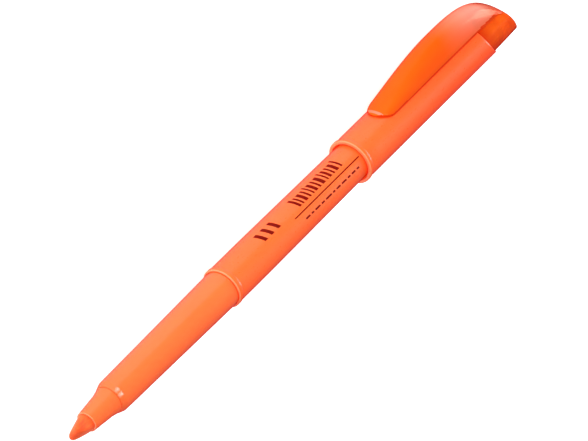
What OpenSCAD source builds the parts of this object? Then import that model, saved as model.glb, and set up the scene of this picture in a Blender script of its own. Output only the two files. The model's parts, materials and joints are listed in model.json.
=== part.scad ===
// Slim felt-tip highlighter with its cap posted on the rear of the barrel.
// The pen lies along X as it comes to rest on a table, on the cap's lip and the clip's side.
// The nib points to +X and the clip to -Y and slightly down. The origin is under the middle
// of the pen, on the table, and every distance below is in millimetres.

/* [Nib] */
// Diameter of the felt nib
nib_d = 4.1; // [3.8:0.1:4.2]
// Length of nib that shows in front of the nose
nib_reach = 5.3; // [4.8:0.1:6]
// Angle of the slanted writing edge, from square
nib_slant = 12; // [8:1:40]
// Angle between the two faces that form the writing edge
nib_wedge = 32; // [28:1:52]
// Turn of the writing edge about the pen's axis, from upright
nib_turn = 128; // [-180:1:180]

/* [Front section] */
// Diameter of the nose at its front rim
nose_front_d = 4.8; // [4.7:0.1:5]
// Diameter of the nose where it starts to flare
nose_flare_d = 5.9; // [5.7:0.1:6.1]
// Length of the nose from its rim to the flare
nose_len = 6.0; // [5:0.1:7]
// Diameter at the foot of the sealing shoulder
shoulder_foot_d = 6.9; // [6.7:0.1:7]
// Length of the flare in front of the sealing shoulder
flare_len = 2.15; // [1.8:0.05:2.6]
// Length of the sealing shoulder
shoulder_len = 1.45; // [1.2:0.05:1.8]
// Diameter of the grip behind the shoulder
grip_front_d = 8.0; // [7.9:0.1:8.2]
// Diameter of the grip at the barrel
grip_rear_d = 9.1; // [8.9:0.1:9.1]
// Length of the grip
grip_len = 40.5; // [38:0.5:42]

/* [Barrel] */
// Diameter of the bead round the barrel's front rim
bead_d = 10.0; // [9.9:0.1:10.1]
// Diameter of the straight stretch behind the bead
seat_d = 9.72; // [9.66:0.02:9.76]
// Length of the straight stretch behind the bead
seat_len = 11; // [9:0.5:14]
// Diameter of the barrel where the posted cap's lip sits
posted_d = 9.22; // [9.16:0.02:9.24]
// Length of the barrel from its front rim to its closed rear end
barrel_len = 74.4; // [70:0.1:78]

/* [Cap] */
// Outer diameter of the cap tube
cap_d = 11.06; // [11:0.02:11.2]
// Outer diameter of the cap's lip
lip_d = 11.38; // [11.3:0.02:11.5]
// Bore of the cap at its lip
cap_bore_d = 9.32; // [9.3:0.01:9.4]
// Length of barrel inside the posted cap
post_depth = 24.1; // [22:0.1:26]
// Length of the cap tube on its axis
cap_len = 50.7; // [50:0.1:52]
// Diameter of the clip insert's plug next to the tube
plug_d = 10.36; // [10.2:0.02:10.5]

/* [Clip] */
// Distance from the cap's lip to the tip of the clip
clip_start = 10.6; // [10:0.1:12]
// Half the width of the clip
clip_half_w = 3.4; // [3.2:0.1:3.6]
// Height of the clip's crest above the pen's axis
clip_crest = 11.3; // [10.6:0.1:11.5]
// Wall thickness of the clip
clip_wall = 1.3; // [1:0.1:1.5]
// Gap between the clip's edges and the cap
clip_gap = 0.25; // [0.2:0.01:0.4]

/* [Ink system] */
// Diameter of the fibre reservoir inside its film
reservoir_d = 6.6; // [6.2:0.1:6.6]
// Length of the fibre reservoir
reservoir_len = 93.9; // [80:0.1:93.9]
// Thickness of the film round the reservoir
film_t = 0.1; // [0.06:0.02:0.12]

/* [Hidden] */
$fn = 96;

// Stations along the pen, measured from the tip of the nib.
nose_at = nib_reach;
flare_at = nose_at + nose_len;
foot_at = flare_at + flare_len;
grip_at = foot_at + shoulder_len;
rim_at = grip_at + grip_len;
rear_at = rim_at + barrel_len;
lip_at = rear_at - post_depth;
cut_at = lip_at + cap_len;
clip_at = lip_at + clip_start;
crest_at = clip_at + 26.5;
end_at = crest_at + 26.7;

// At rest the clip is turned down to the table, and the axis is one lip radius above it.
rest_turn = 109;
axis_z = lip_d / 2;

// The cap tube ends in a hollow oblique cut, a round cutter across the pen.
cut_r = 13.3;
cut_x = cut_at + 11.5;
cut_z = 6.67;

// The clip's root turns on this line across the pen.
hinge_x = crest_at + 15;
hinge_z = 7.1;
hinge_r = 3.0;
hinge_gap = 0.03;

// The front section's cavity and its spigot in the barrel.
core_r = reservoir_d / 2 + film_t + 0.05;
core_at = 22;
spigot_r = 3.95;
spigot_len = 12;

// The reservoir and the nib's tail, which ends inside it.
reservoir_at = 24;
tail_r = 1.5;
tail_end = 30;

// The inner cap and the insert's sleeve, inside the cap tube.
liner_at = lip_at + 41.1;
liner_len = 15.9;
liner_r = 3.93;
sleeve_at = liner_at + 2.1;
sleeve_r = 4.58;

// The closing face of the clip insert: level under the clip, then turned down.
face_turn = 57;
face_round = 4.5;
face_corner = [end_at - 5.16, 4.7];
face_foot = [end_at + 0.1, -4.85];

// Places a shape drawn on the pen's own axis, whose x is the distance from the tip
// and whose z points to the clip.
module on_axis() {
  translate([face_foot[0] / 2, (clip_reach - axis_z) / 2, axis_z]) rotate([-rest_turn, 0, 180])
    children();
}

// Turns an outline of [radius, distance from the tip] about the pen's axis.
module turned(outline) {
  on_axis() rotate([0, 90, 0]) rotate_extrude() polygon(outline);
}

// A bar along the pen, off its axis by r towards the angle given.
module bar(from, to, r, turn, d) {
  on_axis() rotate([turn, 0, 0]) translate([from, 0, r]) rotate([0, 90, 0])
    cylinder(d = d, h = to - from, $fn = 24);
}

// A side outline of [distance from the tip, height above the axis], across the pen.
module across(outline, width) {
  on_axis() rotate([90, 0, 0]) linear_extrude(height = width, center = true) polygon(outline);
}

// A round bar across the pen.
module cross_bar(x, z, r, width = 40) {
  on_axis() translate([x, 0, z]) rotate([90, 0, 0])
    cylinder(r = r, h = width, center = true, $fn = 128);
}

// Points of a quarter circle of radius r about [cx, cy], from one angle to another.
function arc(cx, cy, r, from, to, steps = 6) =
  [for (i = [0 : steps]) let (a = from + (to - from) * i / steps) [cx + r * cos(a), cy + r * sin(a)]];

// Radius of the barrel at a distance from the tip: straight, then a slight taper.
seat_end = rim_at + 1.5 + seat_len;
taper = (seat_d - posted_d) / (lip_at - seat_end);
function barrel_r(x) = (seat_d - taper * max(0, x - seat_end)) / 2;

// Clip outline: half its width, the height of its edges and the height of its crest.
tongue_len = 4;
function tongue(x) = min(1, (x - clip_at) / tongue_len);
function half_w(x) = clip_half_w * sqrt(1 - pow(1 - tongue(x), 2));
function over_cap(w) = sqrt(pow(cap_d / 2, 2) - w * w) + clip_gap;
crest_tip = 6;
crest_low = -4.4;
crest_bulge = 2.94;
crest_fall = 0.63;
function crest_front(x) =
  crest_tip + (clip_crest - crest_tip) * sin(90 * (x - clip_at) / (crest_at - clip_at));
function crest_rear(x) =
  crest_low + (clip_crest - crest_low) *
    pow(1 - pow((x - crest_at) / (end_at - crest_at), crest_bulge), crest_fall);
function crest_z(x) = x < crest_at ? crest_front(x) : crest_rear(x);

// A rib joins its two edge points over the crest, as a rounded arch.
// Each rib is [edge x, edge z, crest x, crest z, half width].
arch_n = 2.5;
arch_steps = 16;
function bend(v) = sign(v) * pow(abs(v), 2 / arch_n);
function arch(rib) =
  [for (j = [0 : arch_steps]) let (a = 180 * j / arch_steps)
    [rib[0] + (rib[2] - rib[0]) * bend(sin(a)), rib[4] * bend(cos(a)), rib[1] + (rib[3] - rib[1]) * bend(sin(a))]];

// How far the turned clip reaches from the pen's axis, sideways over the table.
crest_rib = [crest_at, over_cap(clip_half_w), crest_at, clip_crest, clip_half_w];
clip_reach = max([for (p = arch(crest_rib)) p[1] * cos(rest_turn) + p[2] * sin(rest_turn)]);

// Triangles that close an end: from the outside of a rib inwards, so that an arch may be hollow.
function end_cap(n) =
  [for (j = [0 : floor((n - 1) / 2) - 1]) let (k = n - 1 - j)
    each k - j > 2 ? [[j, j + 1, k], [j + 1, k - 1, k]] : [[j, j + 1, k]]];

// Closed solid through ribs, each a list of n points in the same order.
module loft(rings) {
  n = len(rings[0]);
  last = n * (len(rings) - 1);
  sides = [for (a = [0 : n : last - n], j = [0 : n - 1]) let (k = (j + 1) % n, b = a + n)
    each [[a + j, b + j, b + k], [a + j, b + k, a + k]]];
  front = end_cap(n);
  back = [for (f = front) [for (i = [2 : -1 : 0]) f[i] + last]];
  on_axis() polyhedron(points = [for (r = rings, p = r) p], faces = concat(sides, front, back));
}

// Ribs of the clip's blade, close together at the tongue.
blade_end = hinge_x - 1;
blade_x = [
  for (i = [1 : 7]) clip_at + tongue_len * (1 - cos(90 * i / 7)),
  for (i = [1 : 18]) clip_at + tongue_len + (blade_end - clip_at - tongue_len) * i / 18
];
blade_ribs = [for (x = blade_x) [x, over_cap(half_w(x)), x, crest_z(x), half_w(x)]];

// Ribs of the hollow under the blade, which fades out towards the tongue.
thin = 0.3;
hollow_ribs = [for (x = blade_x)
  let (w = max(thin * half_w(x), half_w(x) - clip_wall), z = over_cap(w))
  [x, z, x, max(z + 0.1, crest_z(x) - clip_wall), w]];

// Line of the closing face, or a line sunk below it.
toe_start = hinge_x - hinge_r;
bend_start = face_corner[0] - face_round * tan(face_turn / 2);
face_end = face_foot - [bend_start + face_round * sin(face_turn),
                        face_corner[1] - face_round * (1 - cos(face_turn))];
function face_line(sunk) = concat(
  [for (i = [0 : 3]) [toe_start + (bend_start - toe_start) * i / 4, face_corner[1] - sunk]],
  arc(bend_start, face_corner[1] - face_round, face_round - sunk, 90, 90 - face_turn, 6),
  [for (i = [1 : 4]) face_foot - sunk * [sin(face_turn), cos(face_turn)] - face_end * (1 - i / 4)]
);

// Radius of the insert's plug, which tapers outside the tube.
function plug_r(x) = plug_d / 2 - 0.02 * max(0, x - cut_at);

// Ribs of the toe, which runs on from the blade and turns down over the end.
// Their edges lie just inside the plug, so that the toe rises out of its closing face.
toe_in = 0.4;
toe_line = face_line(toe_in);
toe_steps = len(toe_line) - 1;
toe_tip = [end_at - 0.5, crest_low - 0.05];
crest_turn = asin(pow((toe_start - crest_at) / (end_at - crest_at), crest_bulge / 2));
function crest_point(s) = let (a = crest_turn + (90 - crest_turn) * s)
  [crest_at + (end_at - crest_at) * pow(sin(a), 2 / crest_bulge),
   crest_low + (clip_crest - crest_low) * pow(cos(a), 2 * crest_fall)];
function toe_w(x, z) = max(z > 3 ? clip_half_w : 0, sqrt(pow(plug_r(x), 2) - z * z) - 0.25);
toe_ribs = concat(
  [for (i = [0 : toe_steps - 1]) let (e = toe_line[i], c = crest_point(i / toe_steps))
    [e[0], e[1], c[0], c[1], toe_w(e[0], e[1])]],
  [[toe_tip[0] - 0.25, toe_tip[1] + 0.2, toe_tip[0], toe_tip[1], 1.5]]
);

// Felt nib: a round rod with a slanted chisel edge, and a thin tail in the reservoir.
module nib() {
  r = nib_d / 2;
  edge_t = 1.4;
  back = r / tan(nib_wedge / 2);
  rise = nib_d * tan(nib_slant);
  color([0.93, 0.3, 0.12]) intersection() {
    turned([[0, 0], [r - 0.15, 0], [r, 0.15], [r, core_at - 0.1], [tail_r, core_at + 0.5],
            [tail_r, tail_end - 1], [tail_r - 0.6, tail_end], [0, tail_end]]);
    on_axis() rotate([nib_turn, 0, 0]) rotate([90, 0, 0]) linear_extrude(height = 20, center = true)
      polygon([[0, edge_t / 2], [0, -edge_t / 2], [back, -r - edge_t / 2], [40, -r - edge_t / 2],
               [40, r + edge_t / 2], [back, r + edge_t / 2]]);
    on_axis() rotate([nib_turn, 0, 0]) linear_extrude(height = 20, center = true)
      polygon([[0, -r], [0, -r + 0.4], [rise, r], [40, r], [40, -r]]);
  }
}

// Nose, sealing shoulder and grip in one moulding, with a spigot that fits the barrel.
module front_section() {
  spigot_end = rim_at + spigot_len;
  color([1, 0.52, 0.3]) difference() {
    turned([
      [nib_d / 2, nose_at], [nose_front_d / 2 - 0.12, nose_at], [nose_front_d / 2, nose_at + 0.12],
      [nose_flare_d / 2, flare_at], [shoulder_foot_d / 2, foot_at], [grip_front_d / 2, grip_at],
      [grip_rear_d / 2, rim_at], [spigot_r, rim_at], [spigot_r, spigot_end - 0.6],
      [spigot_r - 0.3, spigot_end], [core_r, spigot_end], [core_r, core_at], [nib_d / 2, core_at]
    ]);
    // Air vents along the nib.
    for (turn = [0 : 120 : 240])
      bar(nose_at + 1.5, core_at + 1, nib_d / 2, turn, 0.7);
  }
}

// Closed tube with a bead round its front rim, which carries the ribs that hold the reservoir.
module barrel() {
  inner_r = 3.78;
  wall_end = 1.2;
  rib_w = 0.8;
  stop_at = reservoir_at + reservoir_len + 0.3;
  bead_r = bead_d / 2;
  rear_r = barrel_r(rear_at);
  color([1, 0.5, 0.28]) {
    turned(concat(
      [[spigot_r, rim_at], [bead_r - 0.25, rim_at]],
      arc(bead_r - 0.25, rim_at + 0.25, 0.25, -90, 0),
      [[bead_r, rim_at + 1], [seat_d / 2, rim_at + 1.5], [seat_d / 2, seat_end], [rear_r, rear_at - 0.8]],
      arc(rear_r - 0.8, rear_at - 0.8, 0.8, 0, 90),
      [[0, rear_at], [0, rear_at - wall_end], [inner_r, rear_at - wall_end],
       [inner_r, rim_at + spigot_len + 0.4], [spigot_r, rim_at + spigot_len + 0.2]]
    ));
    for (turn = [0 : 90 : 270]) {
      on_axis() rotate([turn, 0, 0]) translate([rim_at + spigot_len + 2, -rib_w / 2, core_r])
        cube([rear_at - rim_at - spigot_len - 2.8, rib_w, inner_r - core_r + 0.2]);
      on_axis() rotate([turn, 0, 0]) translate([stop_at, -rib_w / 2, 1.5])
        cube([rear_at - stop_at - 0.8, rib_w, inner_r - 1.3]);
    }
  }
}

// Rod of bonded fibre that holds the ink, with a socket for the nib's tail.
module reservoir() {
  r = reservoir_d / 2;
  reservoir_end = reservoir_at + reservoir_len;
  color([1, 0.62, 0.4])
    turned([[tail_r + 0.05, reservoir_at], [r, reservoir_at], [r, reservoir_end], [0, reservoir_end],
            [0, tail_end + 0.2], [tail_r + 0.05, tail_end + 0.2]]);
}

// Thin film wrapped round the reservoir.
module reservoir_film() {
  r = reservoir_d / 2;
  film_end = reservoir_at + reservoir_len - 0.3;
  color([0.95, 0.95, 0.93])
    turned([[r, reservoir_at + 0.3], [r + film_t, reservoir_at + 0.3], [r + film_t, film_end], [r, film_end]]);
}

// Bore of the cap tube, which narrows slightly from the lip.
function bore_r(x) = cap_bore_d / 2 - 0.06 * (x - lip_at) / cap_len;

// Cap tube with a raised lip, open at both ends and cut off obliquely at the clip insert.
module cap_tube() {
  r = cap_d / 2;
  lip_r = lip_d / 2;
  tube_end = cut_at + 8;
  color([1, 0.5, 0.28]) difference() {
    turned(concat(
      [[bore_r(lip_at) + 0.15, lip_at], [lip_r - 0.3, lip_at]],
      arc(lip_r - 0.3, lip_at + 0.3, 0.3, -90, 0),
      [[lip_r, lip_at + 0.9], [r, lip_at + 1.6], [r, tube_end],
       [bore_r(tube_end), tube_end], [bore_r(lip_at), lip_at + 0.3]]
    ));
    cross_bar(cut_x, cut_z, cut_r);
  }
}

// Liner inside the cap: its mouth seals on the front section's shoulder when the pen is capped.
module inner_cap() {
  liner_end = liner_at + liner_len;
  color([0.97, 0.8, 0.68])
    turned([
      [4.1, liner_at], [4.55, liner_at], [4.55, liner_at + 1.6], [liner_r, liner_at + 1.6],
      [liner_r, liner_end - 0.4], [liner_r - 0.4, liner_end], [0, liner_end],
      [0, liner_end - 1], [3.3, liner_end - 1], [3.6, liner_at + 1], [3.6, liner_at + 0.8]
    ]);
}

// Clear plug that closes the cap, with the toe that carries the clip.
module clip_insert() {
  cup_end = liner_at + liner_len + 0.1;
  color([1, 0.35, 0.08]) difference() {
    union() {
      intersection() {
        turned([[0, cut_at - 4], [plug_r(cut_at), cut_at - 4], [plug_r(cut_at), cut_at],
                [plug_r(end_at + 1), end_at + 1], [0, end_at + 1]]);
        cross_bar(cut_x, cut_z, cut_r);
        across(concat([[cut_at - 4, -8], [cut_at - 4, face_corner[1]]], face_line(0),
                      [[face_foot[0], -8]]), 20);
      }
      turned([[liner_r + 0.02, sleeve_at], [sleeve_r - 0.2, sleeve_at], [sleeve_r, sleeve_at + 0.4],
              [sleeve_r, cut_at + 6.5], [liner_r + 0.02, cut_at + 6.5]]);
      intersection() {
        loft([for (rib = toe_ribs) arch(rib)]);
        union() {
          cross_bar(hinge_x, hinge_z, hinge_r);
          across([[hinge_x, -20], [hinge_x, 20], [end_at + 20, 20], [end_at + 20, -20]], 40);
        }
      }
    }
    // Cup that takes the inner cap.
    turned([[0, sleeve_at - 1], [liner_r + 0.02, sleeve_at - 1], [liner_r + 0.02, cup_end], [0, cup_end]]);
    // Air slots along the sleeve.
    for (turn = [60 : 120 : 300])
      bar(sleeve_at - 1, sleeve_at + 5, sleeve_r + 0.1, turn, 0.9);
  }
}

// Hollow blade of the clip, from its tongue to the line on which it flexes.
module pocket_clip() {
  color([1, 0.35, 0.08]) difference() {
    loft([for (i = [0 : len(blade_x) - 1]) let (inner = arch(hollow_ribs[i]))
      concat(arch(blade_ribs[i]), [for (j = [arch_steps : -1 : 0]) inner[j]])]);
    cross_bar(hinge_x, hinge_z, hinge_r + hinge_gap);
  }
}

nib();
front_section();
barrel();
reservoir();
reservoir_film();
cap_tube();
inner_cap();
clip_insert();
pocket_clip();
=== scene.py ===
import json
import math

import bpy
import bmesh
from mathutils import Matrix, Vector


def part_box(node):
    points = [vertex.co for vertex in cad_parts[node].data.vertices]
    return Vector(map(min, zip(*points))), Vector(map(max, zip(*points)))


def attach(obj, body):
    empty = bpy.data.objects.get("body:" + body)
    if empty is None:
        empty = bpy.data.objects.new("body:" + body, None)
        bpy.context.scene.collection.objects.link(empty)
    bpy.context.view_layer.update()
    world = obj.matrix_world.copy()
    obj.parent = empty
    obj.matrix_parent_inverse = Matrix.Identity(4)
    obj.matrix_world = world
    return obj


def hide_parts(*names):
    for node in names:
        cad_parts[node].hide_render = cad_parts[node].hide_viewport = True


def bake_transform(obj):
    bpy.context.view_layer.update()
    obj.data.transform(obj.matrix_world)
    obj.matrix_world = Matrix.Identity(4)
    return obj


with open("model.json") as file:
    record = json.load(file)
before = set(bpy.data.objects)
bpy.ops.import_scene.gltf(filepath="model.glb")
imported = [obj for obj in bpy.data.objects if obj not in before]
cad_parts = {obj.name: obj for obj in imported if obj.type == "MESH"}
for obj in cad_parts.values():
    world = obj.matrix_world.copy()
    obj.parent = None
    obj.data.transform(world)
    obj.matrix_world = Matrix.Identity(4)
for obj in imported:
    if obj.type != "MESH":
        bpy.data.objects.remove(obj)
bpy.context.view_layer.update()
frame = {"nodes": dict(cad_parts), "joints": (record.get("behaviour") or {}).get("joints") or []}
scene = bpy.context.scene

# ---------------------------------------------------------------- the pen's own frame
# Shapes are drawn in millimetres in the pen's own frame: x is the distance from the tip of the
# nib, z points to the clip. PEN takes them to the row frame, in metres.
JOINTS = {j["name"]: j for j in frame["joints"]}
along = Vector(JOINTS["cap_slide"]["axis"]).normalized()
across = Vector(JOINTS["clip_flex"]["axis"]).normalized()
upward = along.cross(across).normalized()
across = upward.cross(along).normalized()


def middle(node):
    """The middle of a node's box."""
    low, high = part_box(node)
    return (low + high) / 2


def reach(node, direction=1):
    """Farthest a node's box goes along the pen, from the nib (1) or towards it (-1)."""
    low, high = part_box(node)
    return max((direction * along).dot(c) for c in (low, high)) * direction


tip = reach("nib", -1)
origin = middle("barrel")
origin += along * (tip - along.dot(origin))
MM = 0.001
AXES = Matrix((along, across, upward)).transposed().to_4x4()
PEN = Matrix.Translation(origin) @ AXES @ Matrix.Scale(MM, 4)
TO_PEN = PEN.inverted()


def station(node, direction):
    """Distance from the tip of the nib to a node's near (-1) or far (1) end."""
    return (reach(node, direction) - tip) / MM


nose_at = station("front_section", -1)
rim_at = station("barrel", -1)
rear_at = station("barrel", 1)
lip_at = station("cap_tube", -1)
clip_at = station("pocket_clip", -1)
face_end_at = station("clip_insert", 1)
end_at = face_end_at - 0.1
flare_at = nose_at + 6      # where the nose starts to flare
foot_at = flare_at + 2.15   # foot of the sealing shoulder
grip_at = foot_at + 1.45    # top of the shoulder, where the grip starts
cut_at = lip_at + 50.7      # where the cap tube's oblique cut crosses the pen's axis
crest_at = clip_at + 26.5   # where the clip stands highest
hinge = TO_PEN @ Vector(JOINTS["clip_flex"]["pos_m"])


# ---------------------------------------------------------------- materials
def material(name):
    """A new material, its node tree and its shader."""
    mat = bpy.data.materials.new(name)
    mat.use_nodes = True
    tree = mat.node_tree
    shader = tree.nodes["Principled BSDF"]
    return mat, tree, shader


def node(tree, kind, links=(), **values):
    """A node with its inputs set, and links given as (input, source socket)."""
    n = tree.nodes.new(kind)
    for key, value in values.items():
        if key in n.inputs:
            n.inputs[key].default_value = value
        else:
            setattr(n, key, value)
    for key, source in links:
        tree.links.new(source, n.inputs[key])
    return n


def place(tree, scale=(1, 1, 1), bending=False):
    """Object coordinates in millimetres times scale; a bending piece keeps those it has at rest."""
    if bending:
        source = node(tree, "ShaderNodeAttribute", attribute_name="rest").outputs["Vector"]
    else:
        source = node(tree, "ShaderNodeTexCoord").outputs["Object"]
    mapping = node(tree, "ShaderNodeMapping", [("Vector", source)])
    mapping.inputs["Scale"].default_value = [1000 * s for s in scale]
    return mapping.outputs["Vector"]


def noise(tree, scale, detail, fineness=1.0, bending=False):
    """Noise over a piece; a small scale along an axis draws its grains out along it."""
    where = place(tree, scale, bending)
    n = node(tree, "ShaderNodeTexNoise", [("Vector", where)], Scale=fineness, Detail=detail)
    return n.outputs["Fac"]


def maths(tree, operation, a, b):
    """A math node on a socket and a socket or number."""
    n = node(tree, "ShaderNodeMath", [(0, a)], operation=operation)
    if isinstance(b, float):
        n.inputs[1].default_value = b
    else:
        tree.links.new(b, n.inputs[1])
    return n.outputs[0]


def ramp(tree, source, stops):
    """A colour ramp of (position, colour)."""
    n = node(tree, "ShaderNodeValToRGB", [("Fac", source)])
    while len(n.color_ramp.elements) > len(stops):
        n.color_ramp.elements.remove(n.color_ramp.elements[-1])
    while len(n.color_ramp.elements) < len(stops):
        n.color_ramp.elements.new(1)
    for element, (position, color) in zip(n.color_ramp.elements, stops):
        element.position = position
        element.color = (*color, 1)
    return n.outputs["Color"]


def mix_range(tree, source, low, high):
    """0 to 1 stretched to low to high."""
    n = node(tree, "ShaderNodeMapRange", [("Value", source)])
    n.inputs["To Min"].default_value = low
    n.inputs["To Max"].default_value = high
    return n.outputs["Result"]


def pen_share(tree, direction, start, end, bending=False):
    """0 to 1 between two distances along a direction of the pen's frame, in millimetres."""
    where = place(tree, bending=bending)
    dot = node(tree, "ShaderNodeVectorMath", [(0, where)], operation="DOT_PRODUCT")
    dot.inputs[1].default_value = direction
    offset = origin.dot(direction) / MM
    n = node(tree, "ShaderNodeMapRange", [("Value", dot.outputs["Value"])])
    n.inputs["From Min"].default_value = start + offset
    n.inputs["From Max"].default_value = end + offset
    return n.outputs["Result"]


def blended(tree, a, b, kind="MIX", share=None):
    """Two colours mixed by a share, or multiplied."""
    n = node(tree, "ShaderNodeMix", data_type="RGBA", blend_type=kind)
    n.inputs[0].default_value = 1.0
    if share is not None:
        tree.links.new(share, n.inputs[0])
    for socket, value in ((6, a), (7, b)):
        if isinstance(value, tuple):
            n.inputs[socket].default_value = (*value, 1)
        else:
            tree.links.new(value, n.inputs[socket])
    return n.outputs[2]


def bump(tree, source, strength, distance):
    """A normal from heights; distance is in metres."""
    n = node(tree, "ShaderNodeBump", [("Height", source)], Strength=strength, Distance=distance)
    return n.outputs["Normal"]


def tinted_edge(shader, tint):
    """A skin that only tints, so that the plastic deepens where it turns away."""
    shader.inputs["Coat Weight"].default_value = 1.0
    shader.inputs["Coat IOR"].default_value = 1.0
    shader.inputs["Coat Tint"].default_value = (*tint, 1)


def moulded_plastic(name, light, deep, glow, glow_strength=0.3, rough=(0.24, 0.34), far=None,
                    edge=(0.94, 0.8, 0.82)):
    """Satin fluorescent plastic, with faint flow marks and a fine moulded skin. far is (start, end, tone),
    the painted shade that it takes towards the pen's far end, where the clip hangs over it, and edge the
    tint where it turns away."""
    mat, tree, shader = material(name)
    tinted_edge(shader, edge)
    flow = noise(tree, (0.03, 0.12, 0.12), 4.0)
    skin = noise(tree, (1, 2.5, 2.5), 3.0, 1.2)
    color = ramp(tree, flow, [(0.3, deep), (0.7, light)])
    # Towards the far end the colour darkens and reddens: painted shade from the clip that hangs over the
    # cap.
    if far:
        start, end, far_shade_tone = far
        share = pen_share(tree, along, start, end)
        far_painted_shade = ramp(tree, share, [(0.0, (1, 1, 1)), (0.7, far_shade_tone)])
        color = blended(tree, color, far_painted_shade, "MULTIPLY")
    tree.links.new(color, shader.inputs["Base Color"])
    tree.links.new(mix_range(tree, skin, *rough), shader.inputs["Roughness"])
    tree.links.new(bump(tree, skin, 0.08, 0.00002), shader.inputs["Normal"])
    shader.inputs["IOR"].default_value = 1.45
    shader.inputs["Subsurface Weight"].default_value = 0.3
    shader.inputs["Subsurface Radius"].default_value = (1.0, 0.4, 0.2)
    shader.inputs["Subsurface Scale"].default_value = 0.0012
    shader.inputs["Emission Color"].default_value = (*glow, 1)
    shader.inputs["Emission Strength"].default_value = glow_strength
    return mat


BODY = moulded_plastic("fluorescent_orange", light=(1.0, 0.228, 0.042), deep=(1.0, 0.21, 0.034),
                       glow=(1.0, 0.02, 0.0))
NOSE = moulded_plastic("fluorescent_orange_grip", light=(1.0, 0.262, 0.058), deep=(1.0, 0.24, 0.052),
                       glow=(1.0, 0.025, 0.0), rough=(0.16, 0.21))
# The cap: painted shade darkens it towards its far end, under the clip.
CAP = moulded_plastic("fluorescent_orange_cap", light=(1.0, 0.226, 0.04), deep=(1.0, 0.208, 0.032),
                      glow=(1.0, 0.02, 0.0), far=(lip_at, cut_at, (1.0, 0.72, 0.5)))
# Painted highlight: a paler, glowing plastic on the forward-facing rims of the nose, the barrel's bead and
# the cap's lip.
PAINTED_RIM_HIGHLIGHT = moulded_plastic("fluorescent_orange_painted_highlight", light=(1.0, 0.5, 0.22), deep=(1.0, 0.45, 0.19),
                       glow=(1.0, 0.06, 0.01), rough=(0.2, 0.27))
INSIDE = moulded_plastic("fluorescent_orange_inside", light=(0.9, 0.34, 0.12), deep=(0.85, 0.3, 0.1),
                         glow=(1.0, 0.13, 0.015), glow_strength=0.22, edge=(1, 1, 1))
LINER = moulded_plastic("natural_liner", light=(0.93, 0.7, 0.55), deep=(0.9, 0.66, 0.5),
                        glow=(1.0, 0.3, 0.1), glow_strength=0.05, rough=(0.4, 0.55))


# RED_GLOW is the clear plastic's glow. The others paint light and shade on the clip's far end: the glow of a
# painted pale reflection, and the colour and glow of a dark band of painted shade.
RED_GLOW = (1.0, 0.04, 0.0)
PAINTED_SHEEN_GLOW = (1.1, 1.25, 1.45)
PAINTED_DARK_BAND, PAINTED_DARK_BAND_GLOW = (0.6, 0.08, 0.012), (0.4, 0.02, 0.0)


def painted_sheen_share(tree):
    """Share of the painted pale reflection, which grows towards the clip's crest and its far end."""
    ahead = maths(tree, "POWER", pen_share(tree, along, crest_at - 2, end_at - 9, True), 1.6)
    high = maths(tree, "POWER", pen_share(tree, upward, 3.0, 11.5, True), 1.2)
    return maths(tree, "MULTIPLY", ahead, high)


def painted_dark_band_share(tree):
    """Share of the wedge on top of the clip's far end, where a dark band of painted shade deepens the clear
    plastic.
    """
    share = pen_share(tree, upward, 0, 6, True)
    widening = 0.85
    start = widening * (end_at - 13)
    for side in (-1, 1):
        slope = pen_share(tree, widening * along + side * across, start, start + 3.5, True)
        share = maths(tree, "MULTIPLY", share, slope)
    return share


def clear_plastic(name, deep, light, streaks=(0.05, 0.2, 0.2), painted_sheen=None, painted_notch_shade=None):
    """Translucent plastic. streaks is the stretch of the flow marks in it. The next colour is a painted pale
    reflection towards the clip's far end, and the last a painted shade where the plastic leaves the cap."""
    mat, tree, shader = material(name)
    tinted_edge(shader, (0.88, 0.68, 0.62))
    flow = noise(tree, streaks, 3.0, bending=True)
    skin = noise(tree, (0.3, 0.6, 0.6), 2.0, bending=True)
    color = ramp(tree, flow, [(0.35, deep), (0.65, light)])
    # A painted pale reflection towards the clip's far end, and a dark band of painted shade on top of it.
    if painted_sheen:
        sheen_share, dark_band_share = painted_sheen_share(tree), painted_dark_band_share(tree)
        color = blended(tree, color, painted_sheen, share=sheen_share)
        color = blended(tree, color, PAINTED_DARK_BAND, share=dark_band_share)
        glow = blended(tree, RED_GLOW, PAINTED_SHEEN_GLOW, share=sheen_share)
        glow = blended(tree, glow, PAINTED_DARK_BAND_GLOW, share=dark_band_share)
        tree.links.new(glow, shader.inputs["Emission Color"])
    # Painted shade where the plug leaves the cap tube.
    if painted_notch_shade:
        notch_shade_share = pen_share(tree, along, cut_at - 1.5, cut_at + 3, True)
        color = blended(tree, painted_notch_shade, color, share=notch_shade_share)
    tree.links.new(color, shader.inputs["Base Color"])
    tree.links.new(mix_range(tree, skin, 0.1, 0.16), shader.inputs["Roughness"])
    tree.links.new(bump(tree, skin, 0.05, 0.00004), shader.inputs["Normal"])
    shader.inputs["IOR"].default_value = 1.49
    shader.inputs["Specular Tint"].default_value = (1.0, 0.3, 0.12, 1)
    shader.inputs["Transmission Weight"].default_value = 0.4
    shader.inputs["Emission Color"].default_value = (*RED_GLOW, 1)
    shader.inputs["Emission Strength"].default_value = 0.3
    return mat


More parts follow.
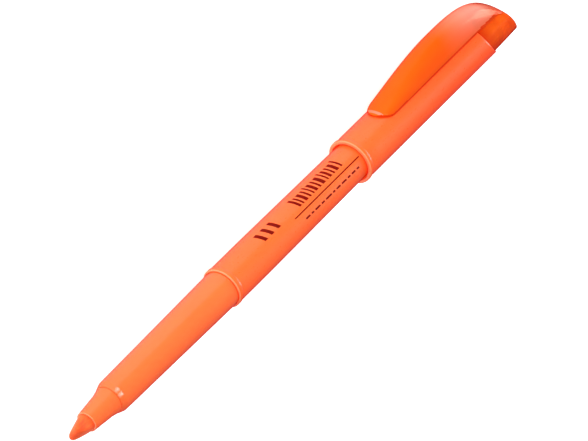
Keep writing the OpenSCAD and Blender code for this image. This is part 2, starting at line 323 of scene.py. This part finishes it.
def ink_felt():
    """Dense felt soaked in ink, with fibres along the nib and darker blots."""
    mat, tree, shader = material("ink_soaked_felt")
    fibres = noise(tree, (0.4, 6, 6), 6.0)
    blots = noise(tree, (0.4, 0.5, 0.5), 3.0)
    both = maths(tree, "MULTIPLY", fibres, blots)
    color = ramp(tree, both, [(0.12, (0.8, 0.06, 0.004)), (0.4, (0.98, 0.15, 0.014))])
    tree.links.new(color, shader.inputs["Base Color"])
    tree.links.new(mix_range(tree, fibres, 0.6, 0.9), shader.inputs["Roughness"])
    tree.links.new(bump(tree, fibres, 0.5, 0.00008), shader.inputs["Normal"])
    shader.inputs["Sheen Weight"].default_value = 0.3
    shader.inputs["Sheen Tint"].default_value = (1.0, 0.5, 0.3, 1)
    shader.inputs["Emission Color"].default_value = (1.0, 0.03, 0.0, 1)
    shader.inputs["Emission Strength"].default_value = 0.25
    return mat


def print_ink():
    """Dark red ink with a fine uneven grain."""
    mat, tree, shader = material("dark_red_print")
    grain = noise(tree, (3, 3, 3), 3.0)
    color = ramp(tree, grain, [(0.35, (0.17, 0.004, 0.001)), (0.65, (0.25, 0.008, 0.002))])
    tree.links.new(color, shader.inputs["Base Color"])
    tree.links.new(mix_range(tree, grain, 0.35, 0.5), shader.inputs["Roughness"])
    shader.inputs["Specular IOR Level"].default_value = 0.03
    return mat


def fibre():
    """Bonded fibre, with its strands along the reservoir."""
    mat, tree, shader = material("bonded_fibre")
    strands = noise(tree, (0.1, 5, 5), 5.0)
    color = ramp(tree, strands, [(0.3, (0.8, 0.2, 0.06)), (0.7, (1.0, 0.4, 0.15))])
    tree.links.new(color, shader.inputs["Base Color"])
    tree.links.new(bump(tree, strands, 0.6, 0.0001), shader.inputs["Normal"])
    shader.inputs["Roughness"].default_value = 0.9
    return mat


def thin_film():
    """Clear film with long soft wrinkles."""
    mat, tree, shader = material("clear_film")
    wrinkles = noise(tree, (0.2, 0.6, 0.6), 3.0)
    color = ramp(tree, wrinkles, [(0.3, (0.9, 0.88, 0.85)), (0.7, (0.97, 0.96, 0.94))])
    tree.links.new(color, shader.inputs["Base Color"])
    tree.links.new(bump(tree, wrinkles, 0.4, 0.0001), shader.inputs["Normal"])
    shader.inputs["Roughness"].default_value = 0.15
    shader.inputs["Transmission Weight"].default_value = 0.6
    return mat


# The clip: a painted pale reflection towards its far end.
CLEAR = clear_plastic("translucent_orange", deep=(1.0, 0.28, 0.013), light=(1.0, 0.33, 0.021),
                      painted_sheen=(0.95, 1.0, 1.0))
# The plug's flank, with painted shade where it leaves the cap.
PLUG = clear_plastic("translucent_orange_plug", deep=(0.75, 0.16, 0.012), light=(0.95, 0.28, 0.022),
                     streaks=(0.12, 0.3, 0.3), painted_notch_shade=(0.6, 0.06, 0.006))
# Painted highlight: the pale crescent along the tongue's tip.
GLINT = clear_plastic("translucent_orange_painted_tongue_glint", deep=(1.0, 0.6, 0.4), light=(1.0, 0.75, 0.55))
# Painted shade: a dark band along the clip's lower edge, where it stands a gap above the cap.
PAINTED_GAP_SHADE = clear_plastic("translucent_orange_painted_gap_shade", deep=(0.66, 0.09, 0.008), light=(0.85, 0.13, 0.013))
FELT = ink_felt()
INK = print_ink()
for name, mat in (("reservoir", fibre()), ("reservoir_film", thin_film()), ("inner_cap", LINER)):
    for slot in frame["nodes"][name].material_slots:
        slot.material = mat


# ---------------------------------------------------------------- meshes
def mesh_of(name, verts, faces, mat, sharp=40):
    """A mesh drawn in the pen's frame, with its normals outward and only its sharp edges kept sharp."""
    mesh = bpy.data.meshes.new(name)
    mesh.from_pydata([PEN @ Vector(v) for v in verts], [], faces)
    bm = bmesh.new()
    bm.from_mesh(mesh)
    bmesh.ops.remove_doubles(bm, verts=bm.verts, dist=1e-7)
    bmesh.ops.dissolve_degenerate(bm, edges=bm.edges, dist=1e-8)
    bmesh.ops.recalc_face_normals(bm, faces=bm.faces)
    bm.to_mesh(mesh)
    bm.free()
    finish_mesh(mesh, mat, sharp)
    obj = bpy.data.objects.new(name, mesh)
    scene.collection.objects.link(obj)
    return obj


def finish_mesh(mesh, mat, sharp):
    """Gives a mesh its material, its smooth faces, and the places that its points have at rest."""
    if "rest" in mesh.attributes:
        mesh.attributes.remove(mesh.attributes["rest"])
    mesh.materials.clear()
    mesh.materials.append(mat)
    rest = mesh.attributes.new("rest", "FLOAT_VECTOR", "POINT")
    rest.data.foreach_set("vector", [c for v in mesh.vertices for c in v.co])
    for polygon in mesh.polygons:
        polygon.use_smooth = True
    mesh.set_sharp_from_angle(angle=math.radians(sharp))


def stations(start, end, count):
    """The ends of count equal steps from start to end."""
    return [start + (end - start) * i / count for i in range(count + 1)]


def rounded(outline, steps=6):
    """Closed outline of (x, r, fillet radius) with its corners rounded."""
    points = []
    n = len(outline)
    for i, (x, r, fillet) in enumerate(outline):
        p = Vector((x, r))
        if not fillet:
            points.append(tuple(p))
            continue
        a = Vector(outline[i - 1][:2]) - p
        b = Vector(outline[(i + 1) % n][:2]) - p
        half = a.angle(b) / 2
        back = min(fillet / math.tan(half), 0.49 * a.length, 0.49 * b.length)
        start, end = p + a.normalized() * back, p + b.normalized() * back
        centre = p + (a.normalized() + b.normalized()).normalized() * (back / math.cos(half))
        radius = (start - centre).length
        for t in stations(0, 1, steps):
            spoke = (start.lerp(end, t) - centre).normalized()
            points.append(tuple(centre + spoke * radius))
    return points


def circle(x, r, around):
    """Points of a circle about the pen's axis, from the clip's side round."""
    turns = [2 * math.pi * j / around for j in range(around)]
    return [(x, r * math.sin(a), r * math.cos(a)) for a in turns]


def turned(name, outline, mat, around=160, sharp=40):
    """A closed outline of (x, r) turned about the pen's axis."""
    verts, faces = [], []
    rings = []
    for x, r in outline:
        if r < 1e-6:
            rings.append([len(verts)] * around)
            verts.append((x, 0, 0))
        else:
            rings.append(list(range(len(verts), len(verts) + around)))
            verts += circle(x, r, around)
    for a, b in zip(rings, rings[1:] + rings[:1]):
        for j in range(around):
            k = (j + 1) % around
            face = list(dict.fromkeys((a[j], b[j], b[k], a[k])))
            if len(face) > 2:
                faces.append(face)
    return mesh_of(name, verts, faces, mat, sharp)


def lofted(name, rings, mat, sharp=40, close=True):
    """A closed skin through rings of equally many points."""
    n = len(rings[0])
    verts = [p for ring in rings for p in ring]
    faces = []
    for i in range(len(rings) - 1):
        for j in range(n):
            k = (j + 1) % n
            faces.append((i * n + j, i * n + k, (i + 1) * n + k, (i + 1) * n + j))
    if close:
        faces.append(tuple(range(n)))
        faces.append(tuple(range(len(verts) - n, len(verts))))
    return mesh_of(name, verts, faces, mat, sharp)


def recolor(obj, mat, start, end, low=0.0, high=99.0):
    """Gives a material to the faces between two stations and two radii."""
    obj.data.materials.append(mat)
    for polygon in obj.data.polygons:
        p = TO_PEN @ polygon.center
        if start <= p.x <= end and low < math.hypot(p.y, p.z) < high:
            polygon.material_index = len(obj.data.materials) - 1


# Front section: nose, sealing shoulder and grip, and the spigot that goes into the barrel.
nib_r, nose_r, flare_r, foot_r = 2.05, 2.46, 3.0, 3.41
groove_r, shoulder_r, grip_r, grip_end_r = 3.28, 3.53, 4.0, 4.55
spigot_r, spigot_len, reservoir_r = 3.93, 12, 3.5
bore_floor = nose_at + 17
front_section = turned("front_section_skin", rounded([
    (nose_at, nib_r, 0.08), (nose_at, nose_r, 0.12), (flare_at, flare_r, 1.0),
    (foot_at - 0.16, foot_r, 0.04), (foot_at, groove_r, 0.03), (foot_at + 0.03, shoulder_r, 0.06),
    (grip_at, grip_r, 2.0), (rim_at - 0.05, grip_end_r, 0.12), (rim_at - 0.05, spigot_r, 0.1),
    (rim_at + spigot_len, spigot_r, 0.5), (rim_at + spigot_len, reservoir_r, 0),
    (bore_floor, reservoir_r, 0), (bore_floor - 0.3, nib_r, 0),
]), NOSE)
# The nose's front rim: painted highlight.
recolor(front_section, PAINTED_RIM_HIGHLIGHT, nose_at - 0.1, nose_at + 0.1, nib_r)
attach(front_section, "pen")
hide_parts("front_section")

# Barrel: a bead round its front rim, a straight seat and a slight taper to a closed end.
bead_r, seat_r, posted_r, barrel_bore_r, rear_wall = 5.0, 4.86, 4.61, 3.78, 1.2
seat_end = rim_at + 12.5
taper = (seat_r - posted_r) / (lip_at - seat_end)


def barrel_r(x):
    return seat_r - taper * max(0.0, x - seat_end)


barrel = turned("barrel_skin", rounded([
    (rim_at, spigot_r + 0.02, 0.1), (rim_at, bead_r, 0.3), (rim_at + 1.15, bead_r, 0.3),
    (rim_at + 1.5, seat_r, 0.25), (seat_end, seat_r, 30), (rear_at, barrel_r(rear_at), 0.8),
    (rear_at, 0, 0), (rear_at - rear_wall, 0, 0), (rear_at - rear_wall, barrel_bore_r, 0.3),
    (rim_at + 12.4, barrel_bore_r, 0), (rim_at + 12.2, spigot_r + 0.02, 0),
]), BODY)
# The bead's front rim: painted highlight.
recolor(barrel, PAINTED_RIM_HIGHLIGHT, rim_at - 0.1, rim_at + 0.22, 4.5)
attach(barrel, "pen")
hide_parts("barrel")

# Print: plain bars, a rule and dashes that stand for the printed lines, a hair above the barrel.
print_turn = math.radians(42)
print_at = rim_at + 12
print_sunk, print_proud = -0.03, 0.012


def printed(marks):
    """Thin curved patches, each (start, length, low side, high side, slant), along and round the barrel."""
    verts, faces = [], []
    for start, length, low, high, slant in marks:
        steps = max(2, round((high - low) / 0.3))
        for i, c in enumerate(stations(low, high, steps)):
            x = print_at + start + slant * (c - low)
            end = x + length
            base = len(verts)
            for px, lift in ((x, print_sunk), (x, print_proud), (end, print_proud), (end, print_sunk)):
                r = barrel_r(px)
                a = c / r + print_turn
                verts.append((px, -(r + lift) * math.sin(a), (r + lift) * math.cos(a)))
            if i:
                p = base - 4
                faces += [(p + k, p + (k + 1) % 4, base + (k + 1) % 4, base + k) for k in range(4)]
            if i in (0, steps):
                faces.append(tuple(range(base, base + 4)))
    return verts, faces


def row(start, gap, widths, low, high, slant=0.25):
    """Marks of the given widths side by side, a gap apart."""
    marks = []
    for width in widths:
        marks.append((start, width, low, high, slant))
        start += width + gap
    return marks


strokes = row(1.2, 1.4, [1.1] * 3, -3.5, -0.7, 0.35)
rule = (12.3, 25.4, 0.25, 0.53, 0)
bars = row(15.0, 0.62, (0.8, 0.55, 1.0, 0.6, 0.5, 0.95, 0.6, 1.1, 0.5, 0.8, 0.55, 1.0, 0.6), -3.5, -0.75)
bars[::4] = [(x, width, -3.9, high, slant) for x, width, _, high, slant in bars[::4]]
dashes = row(14.9, 0.6, (1.6, 0.9, 1.9, 1.1, 2.2, 0.8, 1.5, 1.8, 1.0, 1.4, 0.9), 1.95, 2.4)
printed_marks = mesh_of("print_marks", *printed([*strokes, rule, *bars, *dashes]), INK)
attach(printed_marks, "pen")

# Felt nib: a round rod with a chisel edge worn soft, as the height of its front over its section.
nib_turn, nib_slant, nib_wedge = math.radians(128), math.radians(12), math.radians(32)
edge_half = 0.7                           # half the writing edge's thickness
crown, blunt, heel = 0.4, 0.05, 2.8       # how far wear has rounded the edge and its leading end
shoulder_from, shoulder_drop = 0.7, 0.3   # rounding towards the rod's side
tail_at = nose_at + 16.5


def soft_max(values, sharpness):
    """The largest of the values, with the change from one to another rounded."""
    top = max(values)
    return top + math.log(sum(math.exp((v - top) * sharpness) for v in values)) / sharpness


def nib_front(u, w):
    """Distance from the tip at a point of the section: u along the writing edge, w across it."""
    slant = (u + nib_r) * math.tan(nib_slant) + crown * (w / edge_half) ** 2
    flank = (math.sqrt(w * w + 0.02) - edge_half) / math.tan(nib_wedge / 2)
    worn = max(0.0, soft_max([slant, flank], 5) + blunt)
    outward = max(0.0, math.hypot(u, w) / nib_r - shoulder_from) / (1 - shoulder_from)
    forward = max(0.0, -u / nib_r - 0.5)
    return worn + shoulder_drop * outward ** 2 + heel * forward ** 2


nib_rings = []
for share in [0.02] + stations(0.06, 1, 26):
    ring = []
    for _, w, u in circle(0, nib_r * share, 96):
        y = u * math.cos(nib_turn) - w * math.sin(nib_turn)
        z = u * math.sin(nib_turn) + w * math.cos(nib_turn)
        ring.append((nib_front(u, w), y, z))
    nib_rings.append(ring)
edge_ring = nib_rings[-1]
for share in stations(0, 1, 14):
    nib_rings.append([(x + (tail_at - x) * share, y, z) for x, y, z in edge_ring])
nib = lofted("nib_felt", nib_rings, FELT, 50)
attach(nib, "pen")
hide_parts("nib")

# Cap tube: raised lip, straight tube, and a hollow oblique cut at the clip insert.
cap_r, lip_r, bore_r = 5.53, 5.69, 4.63
cut_r, cut_x, cut_z = 13.3, cut_at + 11.5, 6.67
level_end = cut_at - 6
cap_around = 160


def cut_line(z):
    """Where the oblique cut meets the height z."""
    return cut_x - math.sqrt(cut_r ** 2 - (z - cut_z) ** 2)


def cut_ring(r, share, before=0.0):
    """A ring of the tube, level at share 0 and just before the oblique cut at share 1."""
    ring = circle(0, r, cap_around)
    return [(level_end + (cut_line(z) - before - level_end) * share, y, z) for _, y, z in ring]


lip = rounded([
    (lip_at, bore_r + 0.1, 0.15), (lip_at, lip_r, 0.3),
    (lip_at + 0.95, lip_r, 0.3), (lip_at + 1.6, cap_r, 0.3),
])
straight = [(x, cap_r) for x in stations(lip_at + 3, level_end, 24)]
cap_rings = [circle(x, r, cap_around) for x, r in lip + straight]
cap_rings += [cut_ring(cap_r, share) for share in (0.25, 0.5, 0.75, 0.9)]
cap_rings += [cut_ring(cap_r, 1, 0.12), cut_ring(cap_r - 0.035, 1, 0.035), cut_ring(cap_r - 0.12, 1)]
cap_rings += [cut_ring(bore_r, 1), cut_ring(bore_r, 0)]
cap = lofted("cap_tube_skin", cap_rings + cap_rings[:1], CAP, 40, close=False)
# The lip's front rim: painted highlight; the cap's bore gets the inside plastic.
recolor(cap, PAINTED_RIM_HIGHLIGHT, lip_at - 0.1, lip_at + 0.25, bore_r + 0.3)
recolor(cap, INSIDE, lip_at + 5, end_at, high=bore_r + 0.2)
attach(cap, "cap")
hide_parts("cap_tube")

# Clip moulding: the blade, the toe and the plug that closes the cap, in one clear piece.
half_w, crest_h, wall, gap = 3.4, 11.3, 1.3, 0.25
tongue_len, crest_tip, crest_low = 4.0, 6.0, -4.4
bulge, fall_n, arch_n = 2.94, 0.63, 2.5    # powers of the curves along and across the crest
plug_r0 = 5.18
toe_start = hinge.x - 3
face_turn, face_round = math.radians(57), 4.5
arch_steps = 64
corner = (end_at - 5.16, 4.7)
foot = (face_end_at, -4.85)
bend_start = corner[0] - face_round * math.tan(face_turn / 2)


def plug_r(x):
    """The plug's radius, with a little draft."""
    return plug_r0 - 0.02 * max(0.0, x - cut_at)


def blade_w(x):
    """Half the blade's width, which is round at the tongue."""
    t = min(1.0, (x - clip_at) / tongue_len)
    return half_w * math.sqrt(max(0.0, 1 - (1 - t) ** 2))


def over_cap(w):
    """Height of the blade's lower edge, a gap above the cap."""
    return math.sqrt(cap_r ** 2 - w * w) + gap


def crest_z(x):
    """Height of the blade's middle line."""
    if x < crest_at:
        rise = (x - clip_at) / (crest_at - clip_at)
        return crest_tip + (crest_h - crest_tip) * math.sin(math.pi / 2 * rise)
    v = min(1.0, (x - crest_at) / (end_at - crest_at))
    return crest_low + (crest_h - crest_low) * (1 - v ** bulge) ** fall_n


def bend(v):
    """A sine or cosine squared off, so that the arch is fuller than an ellipse."""
    return math.copysign(abs(v) ** (2 / arch_n), v)


def arch(edge, crest, w):
    """A ring's outer points, from one lower edge over the crest to the other."""
    points = []
    for a in stations(0, math.pi, arch_steps):
        s, c = bend(math.sin(a)), bend(math.cos(a))
        points.append((edge[0] + (crest[0] - edge[0]) * s, w * c, edge[1] + (crest[1] - edge[1]) * s))
    return points


def face_line(t, sunk=0.0):
    """Point of the closing face at t from 0 to 1: level, a bend, then straight down to the foot."""
    level = bend_start - toe_start
    curve = face_round * face_turn
    x1 = bend_start + face_round * math.sin(face_turn)
    z1 = corner[1] - face_round * (1 - math.cos(face_turn))
    down = math.hypot(foot[0] - x1, foot[1] - z1)
    d = t * (level + curve + down)
    if d < level:
        return (toe_start + d, corner[1] - sunk)
    if d < level + curve:
        a = (d - level) / face_round
        r = face_round - sunk
        return (bend_start + r * math.sin(a), corner[1] - face_round + r * math.cos(a))
    s = (d - level - curve) / down
    return (x1 + (foot[0] - x1) * s - sunk * math.sin(face_turn),
            z1 + (foot[1] - z1) * s - sunk * math.cos(face_turn))


rings = []
tongue = [clip_at + tongue_len * (1 - math.cos(math.pi / 2 * t)) for t in stations(0, 1, 24)]
for x in tongue + stations(clip_at + tongue_len + 0.5, toe_start - 1, 66):
    w = max(blade_w(x), 0.001)
    outer = arch((x, over_cap(w)), (x, crest_z(x)), w)
    w_in = max(0.3 * w, w - wall)
    low = over_cap(w_in)
    inner = arch((x, low), (x, max(low + 0.1, crest_z(x) - wall)), w_in)
    rings.append(outer + inner[::-1])
crest_turn = math.asin(((toe_start - crest_at) / (end_at - crest_at)) ** (bulge / 2))
for t in stations(0, 1, 40):
    edge = face_line(t, 0.4 * min(1, t * 6))
    a = crest_turn + (math.pi / 2 - crest_turn) * t
    crest = (crest_at + (end_at - crest_at) * math.sin(a) ** (2 / bulge),
             crest_low + (crest_h - crest_low) * max(0.0, math.cos(a)) ** (2 * fall_n))
    w = math.sqrt(max(0.01, plug_r(edge[0]) ** 2 - edge[1] ** 2)) - 0.02
    w = max(half_w if edge[1] > 3 else 0.5, w)
    outer = arch(edge, crest, w)
    chord = [(edge[0], y, edge[1]) for y in stations(-w, w, arch_steps)]
    rings.append(outer + chord)
hood = lofted("clip_moulding", rings, CLEAR, 35)


def face_x(z):
    """Where the closing face meets the height z."""
    low, high = 0.0, 1.0
    for _ in range(40):
        mid = (low + high) / 2
        if face_line(mid)[1] > z:
            low = mid
        else:
            high = mid
    return face_line(high)[0]


# The plug: its width and its two ends, level by level from its flat top round to its bottom.
top_angle = math.acos(corner[1] / plug_r0)
plug_verts, plug_faces = [], []
for i, a in enumerate(stations(top_angle, math.pi, 90)):
    y, z = plug_r0 * math.sin(a), plug_r0 * math.cos(a)
    far = face_x(z) if i else bend_start
    for _ in range(3):
        far_z = plug_r(far) * math.cos(a)
        far = face_x(far_z) if i else bend_start
    far_y = plug_r(far) * math.sin(a)
    near = cut_line(z) + 0.01
    base = len(plug_verts)
    plug_verts += [(near, -y, z), (near, y, z), (far, -far_y, far_z), (far, far_y, far_z)]
    if i:
        p = base - 4
        plug_faces += [(p, p + 1, base + 1, base), (p + 2, base + 2, base + 3, p + 3),
                       (p, base, base + 2, p + 2), (p + 1, p + 3, base + 3, base + 1)]
plug_faces.append((0, 2, 3, 1))
plug = mesh_of("plug", plug_verts, plug_faces, CLEAR)
join = hood.modifiers.new("join", "BOOLEAN")
join.operation, join.solver, join.object = "UNION", "EXACT", plug
depsgraph = bpy.context.evaluated_depsgraph_get()
joined = bpy.data.meshes.new_from_object(hood.evaluated_get(depsgraph))
hood.modifiers.clear()
hood.data = joined
bpy.data.objects.remove(plug)
finish_mesh(joined, CLEAR, 35)
for mat in (PAINTED_GAP_SHADE, PLUG, GLINT):
    joined.materials.append(mat)
face_normal = (math.sin(face_turn), math.cos(face_turn))


def above_edge(p):
    """Height of a point above the moulding's lower edge: over the cap, or over the closing face."""
    if p.x >= toe_start:
        slope = (p.x - foot[0]) * face_normal[0] + (p.z - foot[1]) * face_normal[1]
        return max(p.z - corner[1], slope)
    if abs(p.y) > 0.8 * blade_w(p.x):
        return p.z - over_cap(min(abs(p.y), half_w))
    return 9.0


for polygon in joined.polygons:
    p = TO_PEN @ polygon.center
    height = above_edge(p)
    if height < 0 and p.x > cut_at - 3:
        polygon.material_index = joined.materials.find(PLUG.name)
    # A band along the moulding's lower edge takes painted shade.
    elif height < 0.5:
        polygon.material_index = joined.materials.find(PAINTED_GAP_SHADE.name)
    # A thin band along the tongue's tip takes the painted highlight.
    elif p.x < clip_at + 1.2 and 0.4 < p.z - over_cap(abs(p.y)) < 0.75:
        polygon.material_index = joined.materials.find(GLINT.name)
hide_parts("clip_insert", "pocket_clip")
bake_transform(hood)


# ---------------------------------------------------------------- camera
# The nib is nearest, and the view is from above the clip's flank. swing is the pen's turn out of the
# picture, lean how far the view leans over the flank, and roll the pen's slope in the picture.
swing, lean, roll = math.radians(37.899), math.radians(42), math.radians(44.62)
distance = 1122.8    # from the camera to its target, in millimetres
up_slope = Vector((0, -math.sin(lean), math.cos(lean)))
cross_axis = Vector((0, -math.cos(lean), -math.sin(lean)))
look = math.sin(swing) * Vector((1, 0, 0)) - math.cos(swing) * up_slope
pen_axis = math.cos(swing) * Vector((1, 0, 0)) + math.sin(swing) * up_slope
right = math.cos(roll) * pen_axis + math.sin(roll) * cross_axis
above = math.sin(roll) * pen_axis - math.cos(roll) * cross_axis
target = Vector((82.93, 0, 0)) + 0.443 * cross_axis
spot = target - distance * look
turn = PEN.to_3x3() * (1 / MM)
camera = bpy.data.objects.new("camera", bpy.data.cameras.new("camera"))
camera.data.type = "PERSP"
camera.data.sensor_width = 36
camera.data.lens = 311.13
camera.data.clip_start, camera.data.clip_end = 0.05, 20
facing = Matrix((turn @ right, turn @ above, turn @ -look)).transposed().to_4x4()
camera.matrix_world = Matrix.Translation(PEN @ spot) @ facing
scene.collection.objects.link(camera)
scene.camera = camera

# ---------------------------------------------------------------- floor and light
scene.view_settings.view_transform = "Standard"
floor_mesh = bpy.data.meshes.new("floor")
floor_half = 8.0    # half the floor's width, in metres
corners = [(-floor_half, -floor_half, 0), (floor_half, -floor_half, 0),
           (floor_half, floor_half, 0), (-floor_half, floor_half, 0)]
floor_mesh.from_pydata(corners, [], [(0, 1, 2, 3)])
floor = bpy.data.objects.new("floor", floor_mesh)
scene.collection.objects.link(floor)
floor.location.z = -0.0001
mat, _, shader = material("pale_floor")
shader.inputs["Base Color"].default_value = (0.9, 0.9, 0.9, 1)
shader.inputs["Roughness"].default_value = 0.9
shader.inputs["Emission Color"].default_value = (1, 1, 1, 1)
shader.inputs["Emission Strength"].default_value = 0.85
floor_mesh.materials.append(mat)

world = bpy.data.worlds.new("studio")
scene.world = world
world.use_nodes = True
background = world.node_tree.nodes["Background"]
background.inputs["Color"].default_value = (1, 1, 1, 1)
background.inputs["Strength"].default_value = 0.36


def softbox(name, direction, size, power):
    """A rectangular softbox that shines on the pen's middle from a direction in the row frame."""
    light = bpy.data.lights.new(name, "AREA")
    light.shape = "RECTANGLE"
    light.size, light.size_y = size
    light.energy = power
    lamp = bpy.data.objects.new(name, light)
    toward = Vector(direction).normalized()
    lamp.location = PEN @ Vector((85, 0, 0)) + toward * 0.9
    lamp.rotation_mode = "QUATERNION"
    lamp.rotation_quaternion = toward.to_track_quat("Z", "Y")
    scene.collection.objects.link(lamp)


softbox("key", (0.09, -0.95, 0.225), (0.045, 0.34), 1.8)
softbox("second", (0.09, -0.66, 0.72), (0.045, 0.34), 1.8)
softbox("end", (-0.88, -0.05, 0.42), (0.45, 0.45), 4.5)
